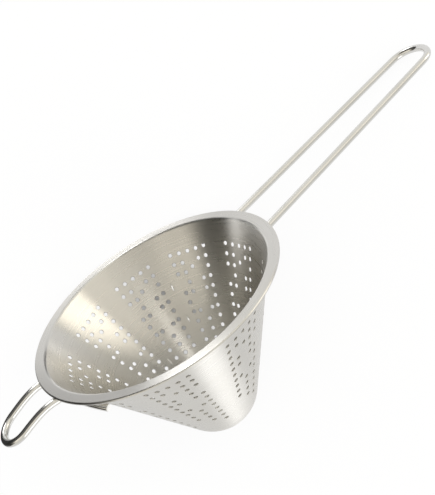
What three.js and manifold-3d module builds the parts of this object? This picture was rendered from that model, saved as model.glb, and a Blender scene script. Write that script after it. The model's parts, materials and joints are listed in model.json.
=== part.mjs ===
// Conical kitchen strainer: a perforated sheet cone, with a wire handle and a wire pot hook welded to it.
// Millimetres. It is built mouth up about its own axis, z = 0 on top of the rim and +X towards the handle,
// then laid on the table as it comes to rest: on the rim's edge, the tip and the end of the handle.

import * as THREE from 'three';
import { mergeVertices } from 'three/addons/utils/BufferGeometryUtils.js';
import Module from 'manifold-3d';

const wasm = await Module();
wasm.setup();

// Sheet cone
const MOUTH_RADIUS = 82.2;
const RIM_WIDTH = 7.8;
const DEPTH = 116;
const TIP_RADIUS = 31.8;
const SHEET = 0.8;
const BEND_RADIUS = 1.6;
const HEM_INSET = 1.3;
const HEM_GAP = 0.4;
const TIP_STEPS = 3;
const ROUND_STEPS = 2;
const HEM_STEPS = 3;
const MERGE_DISTANCE = 1e-4;

// Punched holes: the same group of five columns, repeated around the cone
const HOLE_DIAMETER = 2.9;
const HOLE_SIDES = 6;
const PANEL_ANGLES = [5, 43, 79.5, 117, 157, 198, 239, 283.5, 324.5];
const COLUMN_ANGLE = 5.5;
const FIRST_ROW = 19.7;
const ROW_PITCH = 7.4;
const ROW_BOW = 0.25;
const HOLE_EDGE = 0.2;
const PANEL_ROWS = new Map([
  [-2, [0, 1, 2, 3, 4, 5, 6, 7, 8, 9]],
  [-1, [0, 1, 3, 4, 6]],
  [0, [0, 1.6, 7, 8, 9, 10]],
  [1, [0, 1, 2, 3, 4, 6]],
  [2, [0, 1, 2, 4, 5, 6, 7, 8, 9, 10, 11]],
]);

// Wires and the welds that hold them
const WIRE_DIAMETER = 5;
const WIRE_SIDES = 8;
const CLEARANCE = 0.3;
const FOOT_BEND = 8;
const FOOT_LEAD_ANGLE = 4.5;
const FOOT_TURN_ANGLE = 18;
const FOOT_TOP = 8;
const FOOT_BOTTOM = 14;
const FOOT_LIFT = 1.6;
const WELD_LENGTH = 6;
const WELD_SIZE = 1.7;
const WELD_ANGLE = 49;
const WELD_SIDES = 8;
const WELD_PLACES = [0.2, 0.6];
const ROOM_FACETS = 96;

// Handle: reach beyond the rim's edge, half the spacing of the legs at the rim, end radius and rise
const HANDLE_REACH = 180;
const HANDLE_HALF_SPACING = 19.5;
const HANDLE_END_RADIUS = 15.3;
const HANDLE_RISE_HEIGHT = 17;
const HANDLE_STEPS = 88;

// Hook on the far side, a little off the handle's line
const HOOK_ANGLE = 177.5;
const HOOK_REACH = 37.2;
const HOOK_HALF_SPACING = 14.3;
const HOOK_END_RADIUS = 13.5;
const HOOK_DROP = 7.5;
const HOOK_LEAVE_SLOPE = 0.116;
const HOOK_END_SLOPE = 0.28;
const HOOK_STEPS = 48;

const wireRadius = WIRE_DIAMETER / 2;
const hemRadius = SHEET + HEM_GAP / 2;
const rimRadius = MOUTH_RADIUS + RIM_WIDTH;
const edgeRadius = rimRadius - hemRadius;
const tipCentre = -(DEPTH - TIP_RADIUS);
const wallRadius = MOUTH_RADIUS + SHEET;

// Half the angle of the cone's outside: its line runs from the mouth to a tangent on the tip
const tipDistance = Math.hypot(wallRadius, tipCentre);
const coneAngle = Math.atan2(wallRadius, -tipCentre) - Math.asin(TIP_RADIUS / tipDistance);
const wallSlope = Math.tan(coneAngle);
const wallLength = Math.sqrt(tipDistance ** 2 - TIP_RADIUS ** 2);

function steel(name, color, roughness) {
  return new THREE.MeshStandardMaterial({ name, color, roughness, metalness: 1 });
}

const brushedSteel = steel('brushed_steel', 0xb9b6ae, 0.34);
const polishedSteel = steel('polished_steel', 0xcfcdc6, 0.16);
const weldSteel = steel('weld_steel', 0x9a958c, 0.45);

// Turns a closed geometry into a solid for cutting and joining
function toSolid(geometry) {
  const bare = new THREE.BufferGeometry();
  bare.setAttribute('position', geometry.getAttribute('position'));
  bare.setIndex(geometry.index);
  const merged = mergeVertices(bare, MERGE_DISTANCE);
  const corners = merged.index.array;
  const triangles = [];
  for (let i = 0; i < corners.length; i += 3) {
    const [a, b, c] = [corners[i], corners[i + 1], corners[i + 2]];
    if (a !== b && b !== c && c !== a) triangles.push(a, b, c);
  }
  return new wasm.Manifold(new wasm.Mesh({
    numProp: 3,
    vertProperties: new Float32Array(merged.getAttribute('position').array),
    triVerts: new Uint32Array(triangles),
  }));
}

function toGeometry(solid) {
  const mesh = solid.getMesh();
  const geometry = new THREE.BufferGeometry();
  geometry.setAttribute('position', new THREE.BufferAttribute(new Float32Array(mesh.vertProperties), 3));
  geometry.setIndex(new THREE.BufferAttribute(new Uint32Array(mesh.triVerts), 1));
  geometry.computeVertexNormals();
  return geometry;
}

// Points of an arc in the profile plane, from one angle to another
function arc(r, z, radius, from, to, steps) {
  const points = [];
  for (let i = 0; i <= steps; i += 1) {
    const angle = from + (to - from) * (i / steps);
    points.push(new THREE.Vector2(r + radius * Math.cos(angle), z + radius * Math.sin(angle)));
  }
  return points;
}

// The bend between flange and wall is about a centre outside and below the mouth
const bendHeight = -(BEND_RADIUS + SHEET);
const bendCentre = wallRadius + bendHeight * wallSlope + BEND_RADIUS / Math.cos(coneAngle);

// The sheet's section in three stretches that straight walls join: outside of the tip, rim, inside of the tip
function coneSection() {
  const top = Math.PI / 2;
  const wall = Math.PI - coneAngle;
  const outerTip = arc(0, tipCentre, TIP_RADIUS, -top, -coneAngle, TIP_STEPS);
  const innerTip = arc(0, tipCentre, TIP_RADIUS - SHEET, -coneAngle, -top, TIP_STEPS);
  outerTip[0].x = 0;
  innerTip[TIP_STEPS].x = 0;
  const hemStart = bendCentre + HEM_INSET;
  const rim = [
    ...arc(bendCentre, bendHeight, BEND_RADIUS, wall, top, ROUND_STEPS),
    new THREE.Vector2(hemStart, -SHEET),
    new THREE.Vector2(hemStart, -2 * hemRadius),
    ...arc(edgeRadius, -hemRadius, hemRadius, -top, top, HEM_STEPS),
    ...arc(bendCentre, bendHeight, BEND_RADIUS + SHEET, top, wall, ROUND_STEPS),
  ];
  return { outerTip, rim, innerTip };
}

// A hole is punched where it fits the sheet: clear of the tip, and narrower than its facet
function holeFits(slant, half) {
  const holeRadius = HOLE_DIAMETER / 2;
  const lowest = slant + holeRadius + HOLE_EDGE;
  const facetWidth = (MOUTH_RADIUS - lowest * Math.sin(coneAngle)) * Math.sin(half);
  return lowest < wallLength && holeRadius * Math.cos(Math.PI / HOLE_SIDES) + HOLE_EDGE < facetWidth;
}

// The cone's flat facets: one for each column of holes, and two for each plain strip between the panels
function coneFacets() {
  const facets = [];
  const columns = [...PANEL_ROWS.keys()];
  PANEL_ANGLES.forEach((panel, index) => {
    const next = index + 1 < PANEL_ANGLES.length ? PANEL_ANGLES[index + 1] : PANEL_ANGLES[0] + 360;
    for (const column of columns) {
      const middle = panel + column * COLUMN_ANGLE;
      const bow = ROW_BOW * column * column;
      const holes = PANEL_ROWS.get(column).map((row) => FIRST_ROW + row * ROW_PITCH - bow);
      facets.push({ from: middle - COLUMN_ANGLE / 2, to: middle + COLUMN_ANGLE / 2, holes });
    }
    const stripStart = panel + (columns.at(-1) + 0.5) * COLUMN_ANGLE;
    const stripEnd = next + (columns[0] - 0.5) * COLUMN_ANGLE;
    const stripMiddle = (stripStart + stripEnd) / 2;
    facets.push({ from: stripStart, to: stripMiddle, holes: [] });
    facets.push({ from: stripMiddle, to: stripEnd, holes: [] });
  });
  return facets.map(({ from, to, holes }) => {
    const middle = THREE.MathUtils.degToRad((from + to) / 2);
    const half = THREE.MathUtils.degToRad((to - from) / 2);
    return { middle, half, holes: holes.filter((slant) => holeFits(slant, half)) };
  });
}

// A point of a facet's plane, where the cone has the given radius, moved across from the facet's middle line
function facetPoint({ middle, half }, radius, across, z) {
  const out = radius * Math.cos(half);
  return new THREE.Vector3(
    out * Math.cos(middle) - across * Math.sin(middle),
    out * Math.sin(middle) + across * Math.cos(middle),
    z,
  );
}

// Collects the triangles of a closed skin, leaving out those that shrink to a line at the tip
class Skin {
  corners = [];

  triangle(a, b, c) {
    if (a.equals(b) || b.equals(c) || c.equals(a)) return;
    this.corners.push(a, b, c);
  }

  quad(a, b, c, d) {
    this.triangle(a, b, d);
    this.triangle(c, d, b);
  }

  geometry() {
    const loose = new THREE.BufferGeometry().setFromPoints(this.corners);
    const joined = mergeVertices(loose, MERGE_DISTANCE);
    joined.computeVertexNormals();
    return joined;
  }
}

// Strips of plain quads along a stretch of the section
function addStretch(skin, facet, stretch) {
  for (let i = 0; i + 1 < stretch.length; i += 1) {
    const [p, q] = [stretch[i], stretch[i + 1]];
    const side = Math.sin(facet.half);
    skin.quad(
      facetPoint(facet, p.x, -p.x * side, p.y),
      facetPoint(facet, p.x, p.x * side, p.y),
      facetPoint(facet, q.x, q.x * side, q.y),
      facetPoint(facet, q.x, -q.x * side, q.y),
    );
  }
}

// Outlines of a facet's holes as (across, z): on the sheet's outside, or lifted through it to its inside
function holeOutlines(facet, lift) {
  const slope = Math.atan(wallSlope * Math.cos(facet.half));
  return facet.holes.map((slant) => {
    const outline = [];
    for (let i = 0; i < HOLE_SIDES; i += 1) {
      const angle = ((i + 0.5) / HOLE_SIDES) * 2 * Math.PI;
      const across = (HOLE_DIAMETER / 2) * Math.cos(angle);
      const along = (HOLE_DIAMETER / 2) * Math.sin(angle) - slant;
      outline.push(new THREE.Vector2(across, along * Math.cos(slope) + lift * Math.sin(slope)));
    }
    return outline;
  });
}

// One straight wall of a facet with its holes left open, between the section's points p and q
function addWall(skin, facet, p, q, holes) {
  const side = Math.sin(facet.half);
  const contour = [
    new THREE.Vector2(-p.x * side, p.y),
    new THREE.Vector2(p.x * side, p.y),
    new THREE.Vector2(q.x * side, q.y),
    new THREE.Vector2(-q.x * side, q.y),
  ];
  const rising = q.y > p.y;
  const flat = [...contour, ...holes.flat()];
  const radiusAt = (z) => p.x + ((z - p.y) * (q.x - p.x)) / (q.y - p.y);
  const solidPoints = flat.map((v) => facetPoint(facet, radiusAt(v.y), v.x, v.y));
  for (const [a, b, c] of THREE.ShapeUtils.triangulateShape(contour, holes)) {
    const turn = flat[b].clone().sub(flat[a]).cross(flat[c].clone().sub(flat[a]));
    const [second, third] = turn > 0 === rising ? [b, c] : [c, b];
    skin.triangle(solidPoints[a], solidPoints[second], solidPoints[third]);
  }
  return holes.map((outline) => outline.map((v) => facetPoint(facet, radiusAt(v.y), v.x, v.y)));
}

// The pressed sheet: facets of tip, wall and rim, and the walls of every hole
function strainerCone() {
  const skin = new Skin();
  const { outerTip, rim, innerTip } = coneSection();
  for (const facet of coneFacets()) {
    addStretch(skin, facet, outerTip);
    addStretch(skin, facet, rim);
    addStretch(skin, facet, innerTip);
    const outerRings = addWall(skin, facet, outerTip.at(-1), rim[0], holeOutlines(facet, 0));
    const innerRings = addWall(skin, facet, rim.at(-1), innerTip[0], holeOutlines(facet, SHEET));
    outerRings.forEach((outer, index) => {
      const inner = innerRings[index];
      outer.forEach((point, i) => {
        const j = (i + 1) % outer.length;
        skin.quad(point, outer[j], inner[j], inner[i]);
      });
    });
  }
  return skin.geometry();
}

// A point of the wall's outside at an angle and depth below the rim, moved out square to the wall
function wallPoint(angle, depth, outward) {
  const r = wallRadius - depth * wallSlope + outward * Math.cos(coneAngle);
  const z = -depth - outward * Math.sin(coneAngle);
  return new THREE.Vector3(r * Math.cos(angle), r * Math.sin(angle), z);
}

function wallNormal(angle) {
  const flat = Math.cos(coneAngle);
  return new THREE.Vector3(flat * Math.cos(angle), flat * Math.sin(angle), -Math.sin(coneAngle));
}

// A foot lies on the wall, turning away from its leg and down, and lifts off the wall a little at its end.
// side is +1 or -1 about the wire's own line
class Foot extends THREE.Curve {
  constructor(centre, side, startAngle) {
    super();
    this.centre = centre;
    this.side = side;
    this.startAngle = startAngle;
  }

  getPoint(t, target = new THREE.Vector3()) {
    const turn = this.startAngle + THREE.MathUtils.degToRad(FOOT_TURN_ANGLE) * t;
    const depth = THREE.MathUtils.lerp(FOOT_TOP, FOOT_BOTTOM, t);
    const outward = wireRadius + CLEARANCE + FOOT_LIFT * t * t;
    return target.copy(wallPoint(this.centre + this.side * turn, depth, outward));
  }
}

class LoopEnd extends THREE.Curve {
  constructor(centre, along, across, radius, halfSweep) {
    super();
    Object.assign(this, { centre, along, across, radius, halfSweep });
  }

  getPoint(t, target = new THREE.Vector3()) {
    const angle = this.halfSweep * (2 * t - 1);
    return target.copy(this.centre)
      .addScaledVector(this.along, this.radius * Math.cos(angle))
      .addScaledVector(this.across, this.radius * Math.sin(angle));
  }
}

class Reversed extends THREE.Curve {
  constructor(curve) {
    super();
    this.curve = curve;
  }

  getPoint(t, target = new THREE.Vector3()) {
    return this.curve.getPoint(1 - t, target);
  }
}

// Centre line of a bent wire: foot, leg, round end, leg and foot, pointing out from the rim at an angle.
// The legs leave the rim at one slope, and the round end lies at another, outermost at reach and rise
function bentWire({ angle, reach, halfSpacing, endRadius, rise, leaveSlope, endSlope }) {
  const rimHeight = -(2 * hemRadius + CLEARANCE + wireRadius);
  const flatOut = new THREE.Vector3(Math.cos(angle), Math.sin(angle), 0);
  const across = new THREE.Vector3(-Math.sin(angle), Math.cos(angle), 0);
  const sloped = (slope) => flatOut.clone().setZ(slope).normalize();
  const rim = flatOut.clone().multiplyScalar(rimRadius).setZ(rimHeight);
  const along = sloped(endSlope);
  const endCentre = flatOut.clone().multiplyScalar(rimRadius + reach).setZ(rimHeight + rise)
    .addScaledVector(along, -endRadius);
  const taper = Math.asin((halfSpacing - endRadius) / endCentre.distanceTo(rim));
  const end = new LoopEnd(endCentre, along, across, endRadius, Math.PI / 2 - taper);

  const feet = [];
  const halves = [-1, 1].map((side) => {
    const legEnd = end.getPoint(side < 0 ? 0 : 1);
    const legStart = rim.clone().addScaledVector(across, side * halfSpacing);
    const third = legStart.distanceTo(legEnd) / 3;
    const leave = sloped(leaveSlope).addScaledVector(across, -side * Math.tan(taper)).normalize();
    const arrive = end.getTangent(side < 0 ? 0 : 1).multiplyScalar(-side);
    const leg = new THREE.CubicBezierCurve3(
      legStart,
      legStart.clone().addScaledVector(leave, third),
      legEnd.clone().addScaledVector(arrive, -third),
      legEnd,
    );
    const startAngle = Math.asin(halfSpacing / rimRadius) + THREE.MathUtils.degToRad(FOOT_LEAD_ANGLE);
    const foot = new Foot(angle, side, startAngle);
    const footStart = foot.getPoint(0);
    const bend = new THREE.CubicBezierCurve3(
      legStart,
      legStart.clone().addScaledVector(leave, -FOOT_BEND),
      footStart.clone().addScaledVector(foot.getTangent(0), -FOOT_BEND),
      footStart,
    );
    feet.push(foot);
    return [new Reversed(foot), new Reversed(bend), leg];
  });

  const path = new THREE.CurvePath();
  path.curves.push(...halves[0], end);
  path.curves.push(...halves[1].reverse().map((curve) => new Reversed(curve)));
  return { path, feet, end };
}

function wireGeometry(path, radius, steps) {
  const section = new THREE.Shape().absarc(0, 0, radius, 0, 2 * Math.PI);
  return new THREE.ExtrudeGeometry(section, { extrudePath: path, steps, curveSegments: WIRE_SIDES / 2 });
}

const handle = bentWire({
  angle: 0,
  reach: HANDLE_REACH,
  halfSpacing: HANDLE_HALF_SPACING,
  endRadius: HANDLE_END_RADIUS,
  rise: HANDLE_RISE_HEIGHT,
  leaveSlope: HANDLE_RISE_HEIGHT / HANDLE_REACH,
  endSlope: HANDLE_RISE_HEIGHT / HANDLE_REACH,
});
const hook = bentWire({
  angle: THREE.MathUtils.degToRad(HOOK_ANGLE),
  reach: HOOK_REACH,
  halfSpacing: HOOK_HALF_SPACING,
  endRadius: HOOK_END_RADIUS,
  rise: -HOOK_DROP,
  leaveSlope: HOOK_LEAVE_SLOPE,
  endSlope: -HOOK_END_SLOPE,
});

// The room that a weld may not enter: everything inside the wall, with the clearance added
function wallRoom() {
  const mouth = wallRadius + CLEARANCE / Math.cos(coneAngle);
  const profile = [
    new THREE.Vector2(0, -mouth / wallSlope),
    new THREE.Vector2(mouth, 0),
    new THREE.Vector2(0, 0),
  ];
  return toSolid(new THREE.LatheGeometry(profile, ROOM_FACETS).rotateX(Math.PI / 2));
}

// A weld bead fills the groove under a wire's foot, shaped by the wire and the wall that it joins
function weldBead(foot, place, wireRoom, room) {
  const centre = foot.getPoint(place);
  const along = foot.getTangent(place);
  const angle = Math.atan2(centre.y, centre.x);
  const outward = wallNormal(angle);
  const down = new THREE.Vector3().crossVectors(along, outward).normalize();
  if (down.z > 0) down.negate();
  const bead = new THREE.SphereGeometry(WELD_SIZE, WELD_SIDES, WELD_SIDES / 2);
  bead.scale(WELD_LENGTH / (2 * WELD_SIZE), 1, 1);
  const third = new THREE.Vector3().crossVectors(along, down);
  bead.applyMatrix4(new THREE.Matrix4().makeBasis(along, down, third));
  const lean = THREE.MathUtils.degToRad(WELD_ANGLE);
  const seat = centre.clone()
    .addScaledVector(outward, -(wireRadius + CLEARANCE) * Math.cos(lean))
    .addScaledVector(down, (wireRadius + CLEARANCE) * Math.sin(lean));
  bead.translate(seat.x, seat.y, seat.z);
  return toGeometry(toSolid(bead).subtract(wireRoom).subtract(room));
}

const strainer = new THREE.Group();

function addMesh(name, geometry, material) {
  const mesh = new THREE.Mesh(geometry, material);
  mesh.name = name;
  strainer.add(mesh);
}

addMesh('strainer_cone', strainerCone(), brushedSteel);
const room = wallRoom();
const wires = [
  { name: 'handle', node: 'handle_loop', wire: handle, steps: HANDLE_STEPS },
  { name: 'hook', node: 'rest_hook', wire: hook, steps: HOOK_STEPS },
];
for (const { name, node, wire, steps } of wires) {
  addMesh(node, wireGeometry(wire.path, wireRadius, steps), polishedSteel);
  const wireRoom = toSolid(wireGeometry(wire.path, wireRadius + CLEARANCE, steps));
  wire.feet.forEach((foot, side) => {
    WELD_PLACES.forEach((place, index) => {
      const label = `${name}_weld_${['right', 'left'][side]}_${index + 1}`;
      addMesh(label, weldBead(foot, place, wireRoom, room), weldSteel);
    });
  });
}

// At rest the table touches the rim's edge, the tip and the handle's end. The tilt puts the rim and the tip
// on it, and the roll about the cone's axis puts the handle's end on it too
const tipDrop = -tipCentre - hemRadius;
const tipLean = Math.asin((TIP_RADIUS - hemRadius) / Math.hypot(edgeRadius, tipDrop));
const tilt = Math.atan2(tipDrop, edgeRadius) + tipLean;
const tableDistance = TIP_RADIUS - tipCentre * Math.cos(tilt);
const handleEnd = handle.end;
const endReach = wireRadius + handleEnd.radius * Math.sin(tilt);
const endDrop = tableDistance - endReach + handleEnd.centre.z * Math.cos(tilt);
const roll = Math.acos(endDrop / (handleEnd.centre.x * Math.sin(tilt)));

const up = new THREE.Vector3(
  -Math.sin(tilt) * Math.cos(roll),
  -Math.sin(tilt) * Math.sin(roll),
  Math.cos(tilt),
);
const alongHandle = new THREE.Vector3(1, 0, 0).addScaledVector(up, -up.x).normalize();
const sideways = new THREE.Vector3().crossVectors(up, alongHandle);
const lying = new THREE.Matrix4().makeBasis(alongHandle, sideways, up).transpose();
strainer.quaternion.setFromRotationMatrix(lying);

// The origin is on the table, under the middle of the whole object
const box = new THREE.Box3().setFromObject(strainer, true);
strainer.position.set(-(box.min.x + box.max.x) / 2, -(box.min.y + box.max.y) / 2, -box.min.z);

const part = new THREE.Group();
part.add(strainer);

export default part;
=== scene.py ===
"""Looks of the conical strainer: perforated sheet, polished wires, weld beads, table, light and camera."""

import json
import math

import bpy
from mathutils import Matrix, Vector
from mathutils.geometry import delaunay_2d_cdt


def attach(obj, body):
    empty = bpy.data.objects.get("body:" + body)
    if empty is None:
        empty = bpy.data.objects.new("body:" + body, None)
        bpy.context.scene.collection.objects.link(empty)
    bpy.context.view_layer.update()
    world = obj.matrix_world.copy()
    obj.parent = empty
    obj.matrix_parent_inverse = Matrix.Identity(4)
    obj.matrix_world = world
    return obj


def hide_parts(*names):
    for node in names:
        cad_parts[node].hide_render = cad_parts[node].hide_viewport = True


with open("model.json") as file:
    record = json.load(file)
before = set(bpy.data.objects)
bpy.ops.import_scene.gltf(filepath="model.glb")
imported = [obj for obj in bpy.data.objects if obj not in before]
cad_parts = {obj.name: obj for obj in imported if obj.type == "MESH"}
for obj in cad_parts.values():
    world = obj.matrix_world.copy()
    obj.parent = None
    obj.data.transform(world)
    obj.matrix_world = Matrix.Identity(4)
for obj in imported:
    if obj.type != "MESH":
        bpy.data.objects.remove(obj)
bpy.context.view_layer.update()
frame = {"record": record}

# Millimetres in the strainer's own frame: rim's top at z = 0, +Z out of the mouth, +X to the handle
MM = 0.001
MOUTH_RADIUS = 82.2
RIM_WIDTH = 7.8
DEPTH = 116
TIP_RADIUS = 31.8
SHEET = 0.8
BEND_RADIUS = 1.6
HEM_INSET = 1.3
HEM_GAP = 0.4

# Punched holes: the same group of five columns, repeated around the cone
HOLE_RADIUS = 1.45
HOLE_LIP = 0.33
HOLE_SIDES = 20
PANEL_ANGLES = [5, 43, 79.5, 117, 157, 198, 239, 283.5, 324.5]
COLUMN_ANGLE = 5.5
FIRST_ROW = 19.7
ROW_PITCH = 7.4
ROW_BOW = 0.25
PANEL_ROWS = {
    -2: [0, 1, 2, 3, 4, 5, 6, 7, 8, 9],
    -1: [0, 1, 3, 4, 6],
    0: [0, 1.6, 7, 8, 9, 10],
    1: [0, 1, 2, 3, 4, 6],
    2: [0, 1, 2, 4, 5, 6, 7, 8, 9, 10, 11],
}

# Fineness of the sheet's mesh
FACETS_PER_PANEL = 40
WALL_ROWS = 26
HOLE_MARGIN = 0.62
MERGE_DISTANCE = 1e-6
ARC_STEPS = 8
TIP_RINGS = 14

# Wires and welds
WIRE_RADIUS = 2.5
CLEARANCE = 0.3
WIRE_SIDES = 24
WIRE_EDGE = 0.4
FOOT_BEND = 8
FOOT_LEAD_ANGLE = 4.5
FOOT_TURN_ANGLE = 18
FOOT_TOP = 8
FOOT_BOTTOM = 14
FOOT_LIFT = 1.6
FOOT_STEPS = 16
BEND_STEPS = 14
LEG_STEPS = 44
LOOP_STEPS = 40
WELD_LENGTH = 6
WELD_SIZE = 1.7
WELD_ANGLE = 49
WELD_PLACES = [0.2, 0.6]
WELD_RINGS = 28
WELD_SIDES = 16
WELD_RIPPLES = 5
WELD_RIPPLE_DEPTH = 0.07

# Each wire's angle about the axis, its sizes, and its slope where it leaves the rim and at its end
HANDLE_REACH = 180
HANDLE_RISE = 17
HANDLE = {
    "angle": 0,
    "reach": HANDLE_REACH,
    "half_spacing": 19.5,
    "end_radius": 15.3,
    "rise": HANDLE_RISE,
    "leave": HANDLE_RISE / HANDLE_REACH,
    "end": HANDLE_RISE / HANDLE_REACH,
}
HOOK = {
    "angle": 177.5,
    "reach": 37.2,
    "half_spacing": 14.3,
    "end_radius": 13.5,
    "rise": -7.5,
    "leave": 0.116,
    "end": -0.28,
}

# The rim_top mount lies on the rim at this angle and distance from the axis
MOUNT_ANGLE = 265.5
MOUNT_RADIUS = 86.2

# Brushed sheet: length of its streaks around the cone, streaks to a metre across, and depth in metres
STREAK_LENGTH = 2.2
STREAK_COUNT = 600
BRUSH_DEPTH = 0.00002
BRUSH_STRENGTH = 0.07
SHEET_SMUDGES = 26
SHEET_DULL = (0.705, 0.69, 0.655)
SHEET_BRIGHT = (0.745, 0.73, 0.695)
SHEET_ROUGHNESS = (0.24, 0.34)
SHEET_SMUDGE_ROUGHNESS = (-0.03, 0.03)
SHEET_ANISOTROPY = 0.9
QUARTER_TURN = 0.25

# Walls of the punched holes: rough, with a dark colour that also paints the shade inside the holes
CUT_WALL_SHADE_COLOUR = (0.2, 0.195, 0.185)
CUT_ROUGHNESS = 0.5

# Polished wire
WIRE_MARKS = 420
WIRE_SMUDGES = 38
WIRE_DULL = (0.74, 0.73, 0.705)
WIRE_BRIGHT = (0.8, 0.79, 0.765)
WIRE_ROUGHNESS = (0.1, 0.2)
WIRE_SMUDGE_ROUGHNESS = (0, 0.05)

# Weld metal, with its heat colours from straw to blue
WELD_GRAIN = 900
WELD_HEAT = 160
WELD_GREY = (0.5, 0.48, 0.45)
WELD_STRAW = (0.55, 0.47, 0.36)
WELD_BLUE = (0.42, 0.42, 0.47)
WELD_HEAT_STOPS = (0.35, 0.55, 0.7)
WELD_ROUGHNESS = (0.32, 0.55)
WELD_BUMP = 0.4

# Shares of a noise between which a colour goes from dull to bright, and how rough all noises are
NOISE_STOPS = (0.3, 0.7)
NOISE_ROUGHNESS = 0.6

# The table in metres, white in the picture and darker under the cone's middle, where a painted mask fades
# its white glow so the table's shadow shows
TABLE_LOW = (-0.6, -0.9)
TABLE_HIGH = (1.2, 0.7)
TABLE_PAINT = 0.92
TABLE_GLOW = 0.88
UNDER_CENTRE = (-0.066, 0.016)
UNDER_SPAN = (0.012, 0.052)
UNDER_GLOW = 0.1

# Painted light on the table as the steel mirrors it: brighter at the right, darker at the far left, and a
# painted shadow under the cone
PAINTED_TABLE_LIT = 0.87
PAINTED_TABLE_DIM = 0.25
TABLE_FALL = (0.8, -1.5, 0)
FRONT_FALL = (5, -0.2, 0)
FRONT_FALL_START = 0.66
FALL_SPAN = (-0.4, -0.2)
PAINTED_UNDER_SHADOW = 0.15
PAINTED_UNDER_SHADOW_SPAN = (0.03, 0.09)

# A painted glint on the mirrored table along the lowest part of the rim, and painted shade in front of it
GLINT_MIDDLE = (-0.068, 0.0625)
GLINT_SLOPE = 0.25
GLINT_BEND = -5
PAINTED_GLINT_LIGHT = 0.9
GLINT_SIDE_SPAN = (0.04, 0.09)
GLINT_EDGE_SPAN = (0.005, 0.011)
PAINTED_MOUTH_SHADE = 0.9
SHADE_SIDE_SPAN = (0.03, 0.05)
SHADE_START_SPAN = (0.07, 0.078)
SHADE_END_SPAN = (0.15, 0.24)

# A painted bright strip on the mirrored table behind the cone, and painted darkness on it at the far left
# front, past x = -0.24 m
BACK_STRIP_X = -0.078
BACK_STRIP_HALF_WIDTH = 0.036
BACK_STRIP_SPAN = (-0.08, -0.16)
PAINTED_STRIP_LIGHT = 0.7
PAINTED_DARK_START_SPAN = (-0.246, -0.24)
PAINTED_DARK_SIDE_SPAN = (-0.05, 0.08)
PAINTED_DARK_LEVEL = 0.04

# Brightness of the even sky that lights the table
FLOOR_SKY = 1.12

# Brightness of the room as shares of ROOM_PEAK, from the -X horizon (0) overhead to the +X horizon (1)
ROOM_PEAK = 2.8
ROOM_BANDS = [
    (0.05, 0.02), (0.1, 0.07), (0.155, 0.42), (0.21, 0.6), (0.27, 0.5),
    (0.38, 0.335), (0.44, 0.285), (0.52, 0.28), (0.61, 0.285), (0.67, 0.36),
    (0.73, 0.37), (0.775, 0.3), (0.81, 0.85), (0.95, 0.9), (1.0, 0.6),
]
ROOM_TINT = (1.0, 0.94, 0.82)

# Where the bands are dimmer or brighter, by the parts of a direction along X and Y
SHADED = 0.35
SHADED_X_SPAN = (-0.75, -0.45)
SHADED_Y_SPAN = (0.2, 0.08)
LIFTED = 0.25
LIFTED_X_SPAN = (-0.4, -0.1)
LIFTED_Y_SPAN = (0.02, -0.1)

# The room beside the bands, behind (-Y) and in front (+Y)
BEHIND_SPAN = (-0.13, -0.3)
BACK_DIM = 0.8
BACK_LIT = 0.7
BACK_X_SPAN = (-0.45, -0.05)
FRONT_SLANT = 0.08
FRONT_SPAN = (0.155, 0.3)
FRONT_LOW = 0.03
FRONT_DIM = 0.12
FRONT_Z_SPAN = (0, 0.4)
FRONT_LIT = 0.85
FRONT_X_SPAN = (-0.05, 0.35)
SIDE_TINT = (1.0, 0.985, 0.92)

# Two low lamps, and the shares of a half width between which a lamp fades
BACK_LAMP = 1.0
BACK_LAMP_X = 0.03
BACK_LAMP_HALF_WIDTH = 0.19
BACK_LAMP_Y_SPAN = (-0.6, -0.85)
BACK_LAMP_Z_SPAN = (0, 0.05)
FRONT_LAMP = 4.0
FRONT_LAMP_X = 0.105
FRONT_LAMP_HALF_WIDTH = 0.1
FRONT_LAMP_Y_SPAN = (0.9, 0.95)
LAMP_FADE = (0.8, 1.4)

# Camera
CAMERA_PLACE = (-0.03746, -0.0151, 0.60256)
CAMERA_RIGHT = (0.74397, -0.66722, -0.03637)
CAMERA_FORWARD = (-0.0054, 0.04843, -0.99881)
CAMERA_LENS = 59.22
CAMERA_SHIFT = (0.034, 0.08)
CAMERA_NEAR = 0.01

hem_radius = SHEET + HEM_GAP / 2
rim_radius = MOUTH_RADIUS + RIM_WIDTH
edge_radius = rim_radius - hem_radius
tip_centre = -(DEPTH - TIP_RADIUS)
wall_radius = MOUTH_RADIUS + SHEET
tip_distance = math.hypot(wall_radius, tip_centre)
cone_angle = math.atan2(wall_radius, -tip_centre) - math.asin(TIP_RADIUS / tip_distance)
wall_slope = math.tan(cone_angle)
wall_end = math.sqrt(tip_distance ** 2 - TIP_RADIUS ** 2)
bend_height = -(BEND_RADIUS + SHEET)
bend_centre = wall_radius + bend_height * wall_slope + BEND_RADIUS / math.cos(cone_angle)
wall_start = (wall_radius - bend_centre + BEND_RADIUS * math.cos(cone_angle)) / math.sin(cone_angle)
apex_distance = wall_radius / math.sin(cone_angle)


def lying_matrix():
    """From the strainer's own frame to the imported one, read from the mount on top of the rim."""
    mount = next(m for m in frame["record"]["mounts"] if m["name"] == "rim_top")
    out = Vector(mount["axis"]).normalized()
    along = Vector((out.z, 0, -out.x)).normalized()
    across = out.cross(along)
    turn = Matrix((along, across, out)).transposed()
    angle = math.radians(MOUNT_ANGLE)
    on_rim = Vector((math.cos(angle), math.sin(angle), 0)) * MOUNT_RADIUS * MM
    place = Vector(mount["pos_m"]) - turn @ on_rim
    return Matrix.Translation(place) @ turn.to_4x4()


LYING = lying_matrix()


def add_object(name, data):
    """A new object with its data, linked to the scene."""
    added = bpy.data.objects.new(name, data)
    bpy.context.scene.collection.objects.link(added)
    return added


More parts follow.
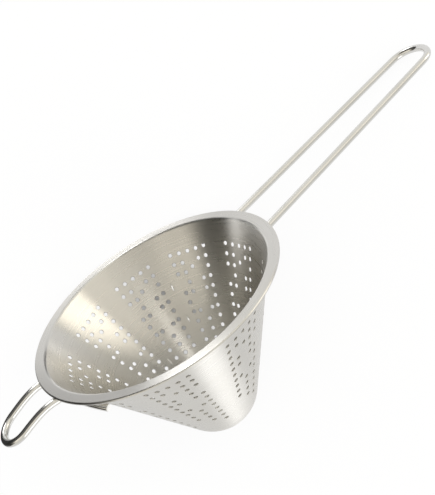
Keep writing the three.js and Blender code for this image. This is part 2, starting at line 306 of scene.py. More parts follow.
class Build:
    """Collects the points, normals and faces of one piece, in millimetres."""

    def __init__(self):
        self.points = []
        self.normals = []
        self.faces = []
        self.cut_faces = []

    def add(self, point, normal):
        self.points.append(Vector(point))
        self.normals.append(Vector(normal).normalized())
        return len(self.points) - 1

    def band(self, first, second):
        """Quads between two closed rows of points, or triangles where a row is one point repeated."""
        for i in range(len(first)):
            j = (i + 1) % len(first)
            face = list(dict.fromkeys([first[i], first[j], second[j], second[i]]))
            if len(face) > 2:
                self.faces.append(face)

    def facing_out(self, face):
        """The face with its corners in the order that agrees with its points' normals."""
        a, b, c = (self.points[i] for i in face[:3])
        outward = sum((self.normals[i] for i in face), Vector())
        return face if (b - a).cross(c - a).dot(outward) > 0 else face[::-1]

    def piece(self, name, material, slot, nodes, own_normals=True, cut=None):
        """Makes the piece from what was collected. A cut material goes on the faces noted as cut."""
        mesh = bpy.data.meshes.new(name)
        places = [LYING @ (p * MM) for p in self.points]
        mesh.from_pydata(places, [], [self.facing_out(f) for f in self.faces])
        mesh.polygons.foreach_set("use_smooth", [True] * len(mesh.polygons))
        if own_normals:
            turn = LYING.to_3x3()
            mesh.normals_split_custom_set_from_vertices([turn @ n for n in self.normals])
        mesh.materials.append(material)
        if cut:
            mesh.materials.append(cut)
            for face in self.cut_faces:
                mesh.polygons[face].material_index = 1
        mesh.update()
        piece = add_object(name, mesh)
        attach(piece, "root")
        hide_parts(*nodes)


def turned(r, z, angle):
    return Vector((r * math.cos(angle), r * math.sin(angle), z))


def wall_normal(angle):
    return turned(math.cos(cone_angle), -math.sin(cone_angle), angle)


def wall_point(angle, slant, inward=0.0):
    """A point of the wall at a slant distance below the rim, moved inward through the sheet."""
    r = wall_radius - slant * math.sin(cone_angle)
    return turned(r, -slant * math.cos(cone_angle), angle) - wall_normal(angle) * inward


def flatten(angle, slant):
    """The wall unrolled flat: a sector about the cone's apex."""
    far = apex_distance - slant
    flat = angle * math.sin(cone_angle)
    return Vector((far * math.sin(flat), far * math.cos(flat)))


def unflatten(point):
    return math.atan2(point.x, point.y) / math.sin(cone_angle), apex_distance - point.length


def flat_circle(centre, radius):
    """Points around a hole on the unrolled wall."""
    turns = [2 * math.pi * n / HOLE_SIDES for n in range(HOLE_SIDES)]
    return [centre + Vector((math.cos(turn), math.sin(turn))) * radius for turn in turns]


def panel_holes(panel):
    """Angle and slant of each hole of the panel, by columns."""
    holes = []
    for column, rows in PANEL_ROWS.items():
        angle = math.radians(panel + column * COLUMN_ANGLE)
        for row in rows:
            holes.append((angle, FIRST_ROW + row * ROW_PITCH - ROW_BOW * column * column))
    return holes


def panel_edges():
    """Angles halfway between the panels, one before each panel and the first again at the end."""
    before = [PANEL_ANGLES[-1] - 360] + PANEL_ANGLES[:-1]
    edges = [math.radians((a + b) / 2) for a, b in zip(before, PANEL_ANGLES)]
    return edges + [edges[0] + 2 * math.pi]


class FlatPanel:
    """One panel of the wall unrolled flat and cut into triangles around its holes."""

    def __init__(self, panel, start, end):
        self.start = start
        self.end = end
        self.middle = (start + end) / 2
        self.centres = [flatten(angle - self.middle, slant) for angle, slant in panel_holes(panel)]
        self.points = []
        self.places = []
        self.ring_of = []
        self.border = {}
        self.add_grid()
        self.hole_rings = [self.add_ring(number, centre) for number, centre in enumerate(self.centres)]
        self.triangles = self.cut()

    def put(self, point, place, ring):
        """Adds a point, with its place in the grid if it has one, and the ring or edge that it lies on."""
        self.points.append(point)
        self.places.append(place)
        self.ring_of.append(ring)
        return len(self.points) - 1

    def add_grid(self):
        """Every other point of a grid, clear of the holes, and all points along the border."""
        keep_off = HOLE_RADIUS + HOLE_LIP + HOLE_MARGIN
        for i in range(FACETS_PER_PANEL + 1):
            for j in range(WALL_ROWS + 1):
                angle = self.start + (self.end - self.start) * i / FACETS_PER_PANEL
                slant = wall_start + (wall_end - wall_start) * j / WALL_ROWS
                point = flatten(angle - self.middle, slant)
                on_border = i in (0, FACETS_PER_PANEL) or j in (0, WALL_ROWS)
                clear = all((point - c).length > keep_off for c in self.centres)
                if on_border or ((i + j) % 2 == 0 and clear):
                    n = self.put(point, (i, j, angle, slant), "bottom" if j == WALL_ROWS else None)
                    if on_border:
                        self.border[i, j] = n

    def add_ring(self, number, centre):
        """The outer edge of a hole's lip."""
        return [self.put(point, None, number) for point in flat_circle(centre, HOLE_RADIUS + HOLE_LIP)]

    def outline(self):
        """The border, point by point around the panel."""
        loop = [self.border[i, 0] for i in range(FACETS_PER_PANEL)]
        loop += [self.border[FACETS_PER_PANEL, j] for j in range(WALL_ROWS)]
        loop += [self.border[i, WALL_ROWS] for i in range(FACETS_PER_PANEL, 0, -1)]
        loop += [self.border[0, j] for j in range(WALL_ROWS, 0, -1)]
        return loop

    def cut(self):
        """Triangles without those that fill a hole or lie beyond the bottom edge, all on one ring."""
        outlines = [self.outline(), *self.hole_rings]
        lines = [(o[n], o[(n + 1) % len(o)]) for o in outlines for n in range(len(o))]
        _, _, triangles, origin, _, _ = delaunay_2d_cdt(self.points, lines, [], 0, MERGE_DISTANCE)
        kept = []
        for triangle in triangles:
            corners = [origin[c][0] for c in triangle]
            rings = {self.ring_of[c] for c in corners}
            if len(rings) > 1 or None in rings:
                kept.append(corners)
        return kept


class Wall:
    """The cone's straight wall: both faces of the sheet, and the rolled lips of every hole."""

    def __init__(self, build):
        self.build = build
        self.shared = {}
        self.rings = {(side, end): [] for side in (0, 1) for end in ("top", "bottom")}
        edges = panel_edges()
        for k, panel in enumerate(PANEL_ANGLES):
            self.add_panel(k, FlatPanel(panel, edges[k], edges[k + 1]))

    def surface_point(self, side, angle, slant):
        normal = wall_normal(angle)
        return self.build.add(wall_point(angle, slant, SHEET * side), -normal if side else normal)

    def grid_point(self, side, k, i, j, angle, slant):
        """A point of the grid. Panels share the points along their edges."""
        line = (k + (i == FACETS_PER_PANEL)) % len(PANEL_ANGLES)
        if i not in (0, FACETS_PER_PANEL):
            return self.surface_point(side, angle, slant)
        key = (side, line, j)
        if key not in self.shared:
            self.shared[key] = self.surface_point(side, angle, slant)
        return self.shared[key]

    def add_panel(self, k, flat):
        sides = [self.add_face(side, k, flat) for side in (0, 1)]
        for centre, ring in zip(flat.centres, flat.hole_rings):
            self.add_lips(centre, flat.middle, [[side[c] for c in ring] for side in sides])

    def add_face(self, side, k, flat):
        """Lays a flat panel on one face of the sheet, and gives the numbers of its points."""
        index = []
        for point, place in zip(flat.points, flat.places):
            if place:
                index.append(self.grid_point(side, k, *place))
            else:
                angle, slant = unflatten(point)
                index.append(self.surface_point(side, angle + flat.middle, slant))
        self.build.faces += [[index[c] for c in corners] for corners in flat.triangles]
        self.rings[side, "top"] += [index[flat.border[i, 0]] for i in range(FACETS_PER_PANEL)]
        self.rings[side, "bottom"] += [index[flat.border[i, WALL_ROWS]] for i in range(FACETS_PER_PANEL)]
        return index

    def add_lips(self, centre, middle, faces):
        """The hole's wall, square through the sheet, with its edges rolled over to both faces."""
        hole_angle, hole_slant = unflatten(centre)
        rows = [faces[0]]
        for inward in (HOLE_LIP, SHEET - HOLE_LIP):
            heart = wall_point(hole_angle + middle, hole_slant, inward)
            row = []
            for place in flat_circle(centre, HOLE_RADIUS):
                angle, slant = unflatten(place)
                point = wall_point(angle + middle, slant, inward)
                row.append(self.build.add(point, heart - point))
            rows.append(row)
        rows.append(faces[1])
        self.build.band(rows[0], rows[1])
        self.build.cut_faces += range(len(self.build.faces), len(self.build.faces) + HOLE_SIDES)
        self.build.band(rows[1], rows[2])
        self.build.band(rows[2], rows[3])


def arc(r, z, radius, start, end, steps, hollow=False):
    """Points of a profile along an arc, with normals that point from its centre, or to it in a hollow."""
    points = []
    sign = -1 if hollow else 1
    for i in range(steps + 1):
        a = start + (end - start) * i / steps
        c, s = math.cos(a), math.sin(a)
        points.append((r + radius * c, z + radius * s, sign * c, sign * s))
    return points


def rim_profile():
    """Bend, flange and the edge folded under, from the wall's outside round to its inside."""
    top = math.pi / 2
    wall = math.pi - cone_angle
    fold = HEM_GAP / 2
    corner = SHEET / 2
    hem_start = bend_centre + HEM_INSET + corner
    hem_middle = -hem_radius - fold - corner
    return [
        *arc(bend_centre, bend_height, BEND_RADIUS, wall, top, ARC_STEPS, hollow=True),
        *arc(edge_radius, -hem_radius, fold, top, -top, ARC_STEPS, hollow=True),
        *arc(hem_start, hem_middle, corner, top, 3 * top, ARC_STEPS),
        *arc(edge_radius, -hem_radius, hem_radius, -top, top, 2 * ARC_STEPS),
        *arc(bend_centre, bend_height, BEND_RADIUS + SHEET, top, wall, ARC_STEPS),
    ]


def tip_profile(side):
    """The blunt tip's outside (0) or inside (1), between the wall's end and the pole."""
    radius = TIP_RADIUS - SHEET * side
    return arc(0, tip_centre, radius, -cone_angle, -math.pi / 2, TIP_RINGS, hollow=side == 1)[1:-1]


def strainer_cone(material, cut):
    build = Build()
    wall = Wall(build)
    edges = panel_edges()
    angles = []
    for start, end in zip(edges, edges[1:]):
        angles += [start + (end - start) * i / FACETS_PER_PANEL for i in range(FACETS_PER_PANEL)]

    def ring(r, z, out, up):
        return [build.add(turned(r, z, a), turned(out, up, a)) for a in angles]

    rim = [ring(*place) for place in rim_profile()[1:-1]]
    rows = [wall.rings[0, "top"], *rim, wall.rings[1, "top"]]
    for first, second in zip(rows, rows[1:]):
        build.band(first, second)

    for side in (0, 1):
        row = wall.rings[side, "bottom"]
        for place in tip_profile(side):
            lower = ring(*place)
            build.band(row, lower)
            row = lower
        pole = build.add((0, 0, SHEET * side - DEPTH), (0, 0, 1 if side else -1))
        build.band(row, [pole] * len(row))
    build.piece("perforated_cone", material, "sheet", ["strainer_cone"], cut=cut)


def bezier(a, b, c, d, steps):
    points = []
    for i in range(steps + 1):
        t = i / steps
        s = 1 - t
        points.append(a * s ** 3 + b * 3 * s * s * t + c * 3 * s * t * t + d * t ** 3)
    return points


class Foot:
    """A wire's foot on the wall, turning away from its leg and down, with its end a little off the wall."""

    def __init__(self, middle, side, start):
        self.middle = middle
        self.side = side
        self.start = start

    def point(self, t):
        angle = self.middle + self.side * (self.start + math.radians(FOOT_TURN_ANGLE) * t)
        depth = FOOT_TOP + (FOOT_BOTTOM - FOOT_TOP) * t
        outward = WIRE_RADIUS + CLEARANCE + FOOT_LIFT * t * t
        return wall_point(angle, depth / math.cos(cone_angle), -outward)

    def tangent(self, t):
        step = 1e-3
        return (self.point(t + step) - self.point(t - step)).normalized()


def bent_wire(angle, reach, half_spacing, end_radius, rise, leave, end):
    """Centre line of a bent wire, and its feet: foot, bend, leg, round end, leg, bend and foot."""
    middle = math.radians(angle)
    out = turned(1, 0, middle)
    across = turned(1, 0, middle + math.pi / 2)
    up = Vector((0, 0, 1))
    rim_height = -(2 * hem_radius + CLEARANCE + WIRE_RADIUS)
    rim = out * rim_radius + up * rim_height
    along = (out + up * end).normalized()
    loop_centre = out * (rim_radius + reach) + up * (rim_height + rise) - along * end_radius
    taper = math.asin((half_spacing - end_radius) / (loop_centre - rim).length)
    half_sweep = math.pi / 2 - taper
    loop = []
    for i in range(LOOP_STEPS + 1):
        a = half_sweep * (2 * i / LOOP_STEPS - 1)
        loop.append(loop_centre + along * end_radius * math.cos(a) + across * end_radius * math.sin(a))
    halves, feet = [], []
    for side in (-1, 1):
        leg_start = rim + across * side * half_spacing
        leg_end = loop[0] if side < 0 else loop[-1]
        third = (leg_end - leg_start).length / 3
        leaving = ((out + up * leave).normalized() - across * side * math.tan(taper)).normalized()
        arriving = along * math.sin(half_sweep) - across * side * math.cos(half_sweep)
        leg = bezier(leg_start, leg_start + leaving * third, leg_end - arriving * third, leg_end, LEG_STEPS)
        foot = Foot(middle, side, math.asin(half_spacing / rim_radius) + math.radians(FOOT_LEAD_ANGLE))
        foot_start = foot.point(0)
        bend = bezier(
            foot_start,
            foot_start - foot.tangent(0) * FOOT_BEND,
            leg_start - leaving * FOOT_BEND,
            leg_start,
            BEND_STEPS,
        )
        sole = [foot.point(1 - i / FOOT_STEPS) for i in range(FOOT_STEPS + 1)]
        halves.append(sole[:-1] + bend[:-1] + leg[:-1])
        feet.append(foot)
    return halves[0] + loop + halves[1][::-1], feet


def wire(name, path, material, node):
    """A round wire along a path, with its cut ends broken at the edge."""
    build = Build()
    rows = []
    tangents = [(b - a).normalized() for a, b in zip([path[0]] + path[:-1], path[1:] + [path[-1]])]
    side = tangents[0].orthogonal().normalized()

    def ring(centre, tangent, radius, lean):
        """One section. lean turns its normals from square to the wire towards the tangent."""
        third = tangent.cross(side)
        row = []
        for i in range(WIRE_SIDES):
            a = 2 * math.pi * i / WIRE_SIDES
            away = side * math.cos(a) + third * math.sin(a)
            row.append(build.add(centre + away * radius, away * (1 - abs(lean)) + tangent * lean))
        return row

    first, last = tangents[0], tangents[-1]
    rows.append([build.add(path[0], -first)] * WIRE_SIDES)
    rows.append(ring(path[0], first, WIRE_RADIUS - WIRE_EDGE, -1))
    rows.append(ring(path[0] + first * WIRE_EDGE, first, WIRE_RADIUS, 0))
    for point, tangent in zip(path[1:-1], tangents[1:-1]):
        side = (side - tangent * side.dot(tangent)).normalized()
        rows.append(ring(point, tangent, WIRE_RADIUS, 0))
    rows.append(ring(path[-1] - last * WIRE_EDGE, last, WIRE_RADIUS, 0))
    rows.append(ring(path[-1], last, WIRE_RADIUS - WIRE_EDGE, 1))
    rows.append([build.add(path[-1], last)] * WIRE_SIDES)
    for one, two in zip(rows, rows[1:]):
        build.band(one, two)
    build.piece(name, material, "wire", [node])


def weld(name, foot, place, material, node):
    """A rippled bead in the groove between a wire's foot and the wall."""
    build = Build()
    centre = foot.point(place)
    along = foot.tangent(place)
    outward = wall_normal(math.atan2(centre.y, centre.x))
    down = along.cross(outward).normalized()
    if down.z > 0:
        down = -down
    third = along.cross(down)
    lean = math.radians(WELD_ANGLE)
    seat = centre + (down * math.sin(lean) - outward * math.cos(lean)) * (WIRE_RADIUS + CLEARANCE)
    rows = []
    for i in range(WELD_RINGS + 1):
        u = math.cos(math.pi * i / WELD_RINGS)
        ripple = 1 - WELD_RIPPLE_DEPTH * (1 + math.cos(u * WELD_RIPPLES * math.pi))
        radius = WELD_SIZE * math.sqrt(max(0, 1 - u * u)) * ripple
        heart = seat + along * (u * WELD_LENGTH / 2)
        if i in (0, WELD_RINGS):
            rows.append([build.add(heart, along * u)] * WELD_SIDES)
            continue
        row = []
        for n in range(WELD_SIDES):
            a = 2 * math.pi * n / WELD_SIDES
            away = down * math.cos(a) + third * math.sin(a)
            row.append(build.add(heart + away * radius, away + along * u))
        rows.append(row)
    for one, two in zip(rows, rows[1:]):
        build.band(one, two)
    build.piece(name, material, "weld", [node], own_normals=False)


class Nodes:
    """Short calls for building a material's nodes."""

    def __init__(self, tree):
        self.tree = tree
        tree.nodes.clear()

    def add(self, kind, **settings):
        node = self.tree.nodes.new(kind)
        for key, value in settings.items():
            setattr(node, key, value)
        return node

    def link(self, source, target):
        self.tree.links.new(source, target)

    def put(self, socket, value):
        """Sets a socket to a constant, or links it to another node's socket."""
        if isinstance(value, bpy.types.NodeSocket):
            self.link(value, socket)
        else:
            socket.default_value = value

    def math(self, operation, a, b=0.0):
        node = self.add("ShaderNodeMath", operation=operation)
        self.put(node.inputs[0], a)
        self.put(node.inputs[1], b)
        return node.outputs[0]

    def total(self, first, *others):
        for other in others:
            first = self.math("ADD", first, other)
        return first

    def product(self, first, *others):
        for other in others:
            first = self.math("MULTIPLY", first, other)
        return first

    def distance(self, a, b):
        """How far apart two numbers are."""
        return self.math("ABSOLUTE", self.math("SUBTRACT", a, b))

    def vector(self, operation, a, b=None, scale=None):
        node = self.add("ShaderNodeVectorMath", operation=operation)
        self.put(node.inputs[0], a)
        if b is not None:
            self.put(node.inputs[1], b)
        if scale is not None:
            self.put(node.inputs["Scale"], scale)
        return node.outputs["Value"] if operation in ("LENGTH", "DOT_PRODUCT") else node.outputs[0]

    def noise(self, vector, scale, detail):
        node = self.add("ShaderNodeTexNoise")
        self.put(node.inputs["Vector"], vector)
        self.put(node.inputs["Scale"], scale)
        self.put(node.inputs["Detail"], detail)
        self.put(node.inputs["Roughness"], NOISE_ROUGHNESS)
        return node.outputs[0]

    def bump(self, height, strength):
        node = self.add("ShaderNodeBump")
        self.put(node.inputs["Strength"], strength)
        self.put(node.inputs["Distance"], BRUSH_DEPTH)
        self.put(node.inputs["Height"], height)
        return node.outputs[0]

    def ramp(self, factor, *stops):
        node = self.add("ShaderNodeValToRGB")
        elements = node.color_ramp.elements
        while len(elements) < len(stops):
            elements.new(0.5)
        for element, (position, colour) in zip(elements, stops):
            element.position = position
            element.color = (*colour, 1)
        self.put(node.inputs[0], factor)
        return node.outputs[0]

    def span(self, factor, low, high):
        """A 0 to 1 factor mapped to a range."""
        return self.reach(factor, 0, 1, low, high)

    def reach(self, value, start, end, low, high):
        """A value that runs smoothly from low to high as another runs from start to end."""
        node = self.add("ShaderNodeMapRange", interpolation_type="SMOOTHSTEP")
        self.put(node.inputs["Value"], value)
        for name, number in (("From Min", start), ("From Max", end), ("To Min", low), ("To Max", high)):
            node.inputs[name].default_value = number
        return node.outputs[0]

    def mix(self, share, a, b):
        """From a to b as a share runs from 0 to 1."""
        return self.total(a, self.product(share, self.math("SUBTRACT", b, a)))

    def lamp(self, x, centre, half_width, level):
        """A level that holds near a centre and falls to nothing beyond half a width."""
        fade_start, fade_end = (share * half_width for share in LAMP_FADE)
        return self.product(level, self.reach(self.distance(x, centre), fade_start, fade_end, 1, 0))


def new_steel(name):
    """A metal material with its nodes and its shader."""
    material = bpy.data.materials.new(name)
    material.use_nodes = True
    nodes = Nodes(material.node_tree)
    shader = nodes.add("ShaderNodeBsdfPrincipled")
    shader.inputs["Metallic"].default_value = 1.0
    output = nodes.add("ShaderNodeOutputMaterial")
    nodes.link(shader.outputs[0], output.inputs["Surface"])
    return material, nodes, shader


def own_frame(nodes):
    """The place in the strainer's own frame, in metres."""
    back = LYING.inverted()
    node = nodes.add("ShaderNodeMapping", vector_type="POINT")
    node.inputs["Location"].default_value = back.to_translation()
    node.inputs["Rotation"].default_value = back.to_euler()
    nodes.link(nodes.add("ShaderNodeTexCoord").outputs["Object"], node.inputs["Vector"])
    return node.outputs[0]


def around_axis(nodes):
    """The direction around the cone's axis, along which the sheet was brushed."""
    place = nodes.add("ShaderNodeNewGeometry").outputs["Position"]
    axis = LYING.to_3x3().col[2]
    from_axis = nodes.vector("SUBTRACT", place, LYING.to_translation())
    return nodes.vector("NORMALIZE", nodes.vector("CROSS_PRODUCT", axis, from_axis))


def brushing(nodes, place):
    """Noise drawn out into streaks around the cone."""
    flat = nodes.vector("MULTIPLY", place, (1, 1, 0))
    around = nodes.vector("SCALE", nodes.vector("NORMALIZE", flat), scale=STREAK_LENGTH)
    height = nodes.vector("DOT_PRODUCT", place, (0, 0, 1))
    across = nodes.total(height, nodes.vector("LENGTH", flat))
    lift = nodes.add("ShaderNodeCombineXYZ")
    nodes.put(lift.inputs["Z"], nodes.product(across, STREAK_COUNT))
    return nodes.noise(nodes.vector("ADD", around, lift.outputs[0]), 1.0, detail=3.0)


def sheet_material():
    """Satin stainless sheet, brushed around the cone as it was spun."""
    material, nodes, shader = new_steel("satin_sheet")
    place = own_frame(nodes)
    streaks = brushing(nodes, place)
    smudges = nodes.noise(place, SHEET_SMUDGES, detail=4.0)
    colour = nodes.ramp(streaks, *zip(NOISE_STOPS, (SHEET_DULL, SHEET_BRIGHT)))
    nodes.put(shader.inputs["Base Color"], colour)
    smudged = nodes.span(smudges, *SHEET_SMUDGE_ROUGHNESS)
    nodes.put(shader.inputs["Roughness"], nodes.total(nodes.span(streaks, *SHEET_ROUGHNESS), smudged))
    shader.inputs["Anisotropic"].default_value = SHEET_ANISOTROPY
    shader.inputs["Anisotropic Rotation"].default_value = QUARTER_TURN
    nodes.put(shader.inputs["Tangent"], around_axis(nodes))
    nodes.put(shader.inputs["Normal"], nodes.bump(streaks, BRUSH_STRENGTH))
    return material


def cut_material():
    """The rough walls of the punched holes, darker than the sheet's faces: their dark colour also paints
    the shade inside the holes.
    """
    material, _, shader = new_steel("punched_edge")
    shader.inputs["Base Color"].default_value = (*CUT_WALL_SHADE_COLOUR, 1)
    shader.inputs["Roughness"].default_value = CUT_ROUGHNESS
    return material


def wire_material():
    """Polished stainless wire with faint marks from drawing."""
    material, nodes, shader = new_steel("polished_wire")
    place = nodes.add("ShaderNodeTexCoord").outputs["Object"]
    marks = nodes.noise(place, WIRE_MARKS, detail=4.0)
    smudges = nodes.noise(place, WIRE_SMUDGES, detail=3.0)
    colour = nodes.ramp(smudges, *zip(NOISE_STOPS, (WIRE_DULL, WIRE_BRIGHT)))
    nodes.put(shader.inputs["Base Color"], colour)
    smudged = nodes.span(smudges, *WIRE_SMUDGE_ROUGHNESS)
    nodes.put(shader.inputs["Roughness"], nodes.total(nodes.span(marks, *WIRE_ROUGHNESS), smudged))
    return material


def weld_material():
    """Dull weld metal with a little heat colour."""
    material, nodes, shader = new_steel("weld_metal")
    place = nodes.add("ShaderNodeTexCoord").outputs["Object"]
    grain = nodes.noise(place, WELD_GRAIN, detail=5.0)
    heat = nodes.noise(place, WELD_HEAT, detail=2.0)
    colour = nodes.ramp(heat, *zip(WELD_HEAT_STOPS, (WELD_GREY, WELD_STRAW, WELD_BLUE)))
    nodes.put(shader.inputs["Base Color"], colour)
    nodes.put(shader.inputs["Roughness"], nodes.span(grain, *WELD_ROUGHNESS))
    nodes.put(shader.inputs["Normal"], nodes.bump(grain, WELD_BUMP))
    return material


def make_object():
    polished = wire_material()
    bead = weld_material()
    strainer_cone(sheet_material(), cut_material())
    for label, node, spec in (("handle", "handle_loop", HANDLE), ("hook", "rest_hook", HOOK)):
        path, feet = bent_wire(**spec)
        wire(label + "_wire", path, polished, node)
        for side, foot in zip(("right", "left"), feet):
            for number, place in enumerate(WELD_PLACES, 1):
                node_name = f"{label}_weld_{side}_{number}"
                weld(f"{label}_bead_{side}_{number}", foot, place, bead, node_name)


def make_camera():
    data = bpy.data.cameras.new("camera")
    camera = add_object("camera", data)
    back = -Vector(CAMERA_FORWARD).normalized()
    right = Vector(CAMERA_RIGHT)
    right = (right - back * right.dot(back)).normalized()
    up = back.cross(right)
    camera.matrix_world = Matrix.Translation(CAMERA_PLACE) @ Matrix((right, up, back)).transposed().to_4x4()
    data.lens = CAMERA_LENS
    data.shift_x, data.shift_y = CAMERA_SHIFT
    data.clip_start = CAMERA_NEAR
    bpy.context.scene.camera = camera


def seen_directly(nodes):
    """1 for what the camera sees straight, mirrored or through glass, and 0 for light on a surface."""
    path = nodes.add("ShaderNodeLightPath")
    straight = nodes.math("MAXIMUM", path.outputs["Is Camera Ray"], path.outputs["Is Glossy Ray"])
    return nodes.math("MAXIMUM", straight, path.outputs["Is Transmission Ray"])


def painted_table_light(nodes, place, from_cone):
    """Painted light of the mirrored table away from the mouth: darker at the far left, with a painted
    shadow under the cone.
    """
    front = nodes.total(nodes.vector("DOT_PRODUCT", place, FRONT_FALL), FRONT_FALL_START)
    fall = nodes.math("MAXIMUM", nodes.vector("DOT_PRODUCT", place, TABLE_FALL), front)
    level = nodes.reach(fall, *FALL_SPAN, PAINTED_TABLE_DIM, PAINTED_TABLE_LIT)
    return nodes.product(level, nodes.reach(from_cone, *PAINTED_UNDER_SHADOW_SPAN, PAINTED_UNDER_SHADOW, 1))


def before_mouth(nodes, level, along, across):
    """Painted light of the mirrored table, with painted shade before the mouth and a painted glint along
    the rim's foot.
    """
    beside = nodes.distance(along, GLINT_MIDDLE[0])
    bend = nodes.product(beside, beside, GLINT_BEND)
    before = nodes.total(across, nodes.product(along, GLINT_SLOPE), bend)
    shade = nodes.product(
        nodes.reach(beside, *SHADE_SIDE_SPAN, PAINTED_MOUTH_SHADE, 0),
        nodes.reach(before, *SHADE_START_SPAN, 0, 1),
        nodes.reach(across, *SHADE_END_SPAN, 1, 0),
    )
    glint = nodes.product(
        nodes.reach(beside, *GLINT_SIDE_SPAN, PAINTED_GLINT_LIGHT, 0),
        nodes.reach(nodes.distance(before, GLINT_MIDDLE[1]), *GLINT_EDGE_SPAN, 1, 0),
    )
    return nodes.total(nodes.product(level, nodes.math("SUBTRACT", 1.0, shade)), glint)


def painted_mirrored_table(nodes, place, from_cone):
    """Painted light and shade on the table as the steel mirrors it, with a painted bright strip behind the
    cone and painted darkness at the far left front.
    """
    along = nodes.vector("DOT_PRODUCT", place, (1, 0, 0))
    across = nodes.vector("DOT_PRODUCT", place, (0, 1, 0))
    level = before_mouth(nodes, painted_table_light(nodes, place, from_cone), along, across)
    strip = nodes.reach(across, *BACK_STRIP_SPAN, 0, PAINTED_STRIP_LIGHT)
    level = nodes.total(level, nodes.lamp(along, BACK_STRIP_X, BACK_STRIP_HALF_WIDTH, strip))
    past_end = nodes.reach(along, *PAINTED_DARK_START_SPAN, 1, 0)
    beyond = nodes.product(past_end, nodes.reach(across, *PAINTED_DARK_SIDE_SPAN, 0, 1))
    return nodes.mix(beyond, level, PAINTED_DARK_LEVEL)


def table_material():
    """White paper that stays white in the picture and keeps the shadow under the cone and the wires. In the
    steel's reflections it glows with painted light and shade.
    """
    material = bpy.data.materials.new("white_table")
    material.use_nodes = True
    nodes = Nodes(material.node_tree)
    paint = nodes.add("ShaderNodeBsdfDiffuse")
    paint.inputs["Color"].default_value = (TABLE_PAINT, TABLE_PAINT, TABLE_PAINT, 1)
    glow = nodes.add("ShaderNodeEmission")
    mix = nodes.add("ShaderNodeMixShader")
    output = nodes.add("ShaderNodeOutputMaterial")
    place = nodes.add("ShaderNodeNewGeometry").outputs["Position"]
    from_cone = nodes.vector("LENGTH", nodes.vector("SUBTRACT", place, (*UNDER_CENTRE, 0)))
    # A painted mask fades the white glow under the cone's middle, so the table's shadow shows there
    seen = nodes.product(seen_directly(nodes), nodes.reach(from_cone, *UNDER_SPAN, UNDER_GLOW, TABLE_GLOW))
    mirrored = nodes.add("ShaderNodeLightPath").outputs["Is Glossy Ray"]
    # For the steel's reflections the table glows with painted light and shade instead
    nodes.put(glow.inputs["Strength"], nodes.mix(mirrored, 1.0, painted_mirrored_table(nodes, place, from_cone)))
    nodes.put(mix.inputs[0], nodes.mix(mirrored, seen, 1.0))
    nodes.link(paint.outputs[0], mix.inputs[1])
    nodes.link(glow.outputs[0], mix.inputs[2])
    nodes.link(mix.outputs[0], output.inputs["Surface"])
    return material


def make_floor():
    low, high = TABLE_LOW, TABLE_HIGH
    corners = [(low[0], low[1], 0), (high[0], low[1], 0), (high[0], high[1], 0), (low[0], high[1], 0)]
    mesh = bpy.data.meshes.new("table")
    mesh.from_pydata(corners, [], [(0, 1, 2, 3)])
    mesh.materials.append(table_material())
    table = add_object("table", mesh)


def room_bands(nodes, x, y, z):
    """Light in bands around the Y axis, a little dimmer at the left and brighter behind."""
    turn = nodes.math("DIVIDE", nodes.math("ARCTAN2", z, nodes.product(x, -1.0)), math.pi)
    bands = nodes.ramp(turn, *[(place, (level,) * 3) for place, level in ROOM_BANDS])
    shade = nodes.product(nodes.reach(y, *SHADED_Y_SPAN, 0, 1), nodes.reach(x, *SHADED_X_SPAN, SHADED, 0))
    lift = nodes.product(nodes.reach(y, *LIFTED_Y_SPAN, 0, 1), nodes.reach(x, *LIFTED_X_SPAN, 0, LIFTED))
    change = nodes.total(1.0, nodes.math("SUBTRACT", lift, shade))
    return nodes.product(bands, ROOM_PEAK, change)


def low_lamps(nodes, x, y, z):
    """One lamp low behind the strainer and one low in front."""
    back_level = nodes.reach(y, *BACK_LAMP_Y_SPAN, 0, BACK_LAMP)
    back = nodes.lamp(x, BACK_LAMP_X, BACK_LAMP_HALF_WIDTH, back_level)
    back = nodes.product(back, nodes.reach(z, *BACK_LAMP_Z_SPAN, 0, 1))
    front_level = nodes.reach(y, *FRONT_LAMP_Y_SPAN, 0, FRONT_LAMP)
    return nodes.total(back, nodes.lamp(x, FRONT_LAMP_X, FRONT_LAMP_HALF_WIDTH, front_level))


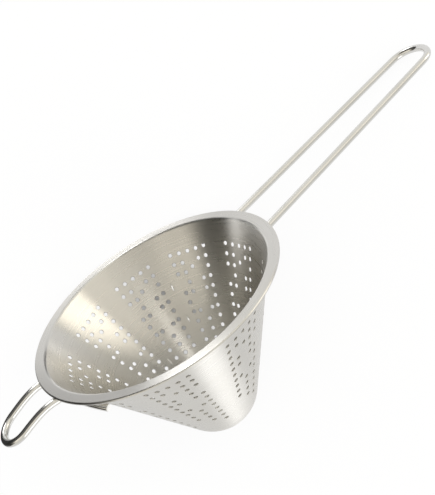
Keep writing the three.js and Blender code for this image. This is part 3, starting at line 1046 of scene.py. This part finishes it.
def room_light(nodes):
    """The room as the steel sees it: bands overhead, plainer light behind and in front, and low lamps."""
    parts = nodes.add("ShaderNodeSeparateXYZ")
    nodes.put(parts.inputs[0], nodes.add("ShaderNodeTexCoord").outputs["Generated"])
    x, y, z = parts.outputs
    behind = nodes.reach(y, *BEHIND_SPAN, 0, 1)
    before = nodes.reach(nodes.total(y, nodes.product(x, FRONT_SLANT)), *FRONT_SPAN, 0, 1)
    overhead = nodes.math("SUBTRACT", 1.0, nodes.total(behind, before))
    middle = nodes.product(room_bands(nodes, x, y, z), overhead)
    back = nodes.product(behind, nodes.reach(x, *BACK_X_SPAN, BACK_DIM, BACK_LIT))
    front_left = nodes.reach(z, *FRONT_Z_SPAN, FRONT_LOW, FRONT_DIM)
    front = nodes.product(before, nodes.mix(nodes.reach(x, *FRONT_X_SPAN, 0, 1), front_left, FRONT_LIT))
    sides = nodes.vector("SCALE", SIDE_TINT, scale=nodes.total(back, front))
    tinted = nodes.vector("ADD", nodes.vector("SCALE", ROOM_TINT, scale=middle), sides)
    return nodes.vector("ADD", tinted, low_lamps(nodes, x, y, z))


def make_world():
    """White where the camera sees it, an even sky over the table, and the room's light for the steel."""
    world = bpy.data.worlds.new("studio")
    bpy.context.scene.world = world
    world.use_nodes = True
    nodes = Nodes(world.node_tree)
    white = nodes.add("ShaderNodeBackground")
    white.inputs["Color"].default_value = (1, 1, 1, 1)
    room = nodes.add("ShaderNodeBackground")
    nodes.put(room.inputs["Color"], room_light(nodes))
    mix = nodes.add("ShaderNodeMixShader")
    output = nodes.add("ShaderNodeOutputWorld")
    path = nodes.add("ShaderNodeLightPath")
    matt = path.outputs["Is Diffuse Ray"]
    nodes.put(white.inputs["Strength"], nodes.mix(matt, 1.0, FLOOR_SKY))
    nodes.put(mix.inputs[0], nodes.math("MAXIMUM", matt, path.outputs["Is Camera Ray"]))
    nodes.link(room.outputs[0], mix.inputs[1])
    nodes.link(white.outputs[0], mix.inputs[2])
    nodes.link(mix.outputs[0], output.inputs["Surface"])


def make_stage():
    make_floor()
    make_world()
    bpy.context.scene.view_settings.view_transform = "Standard"


make_object()
make_stage()
make_camera()
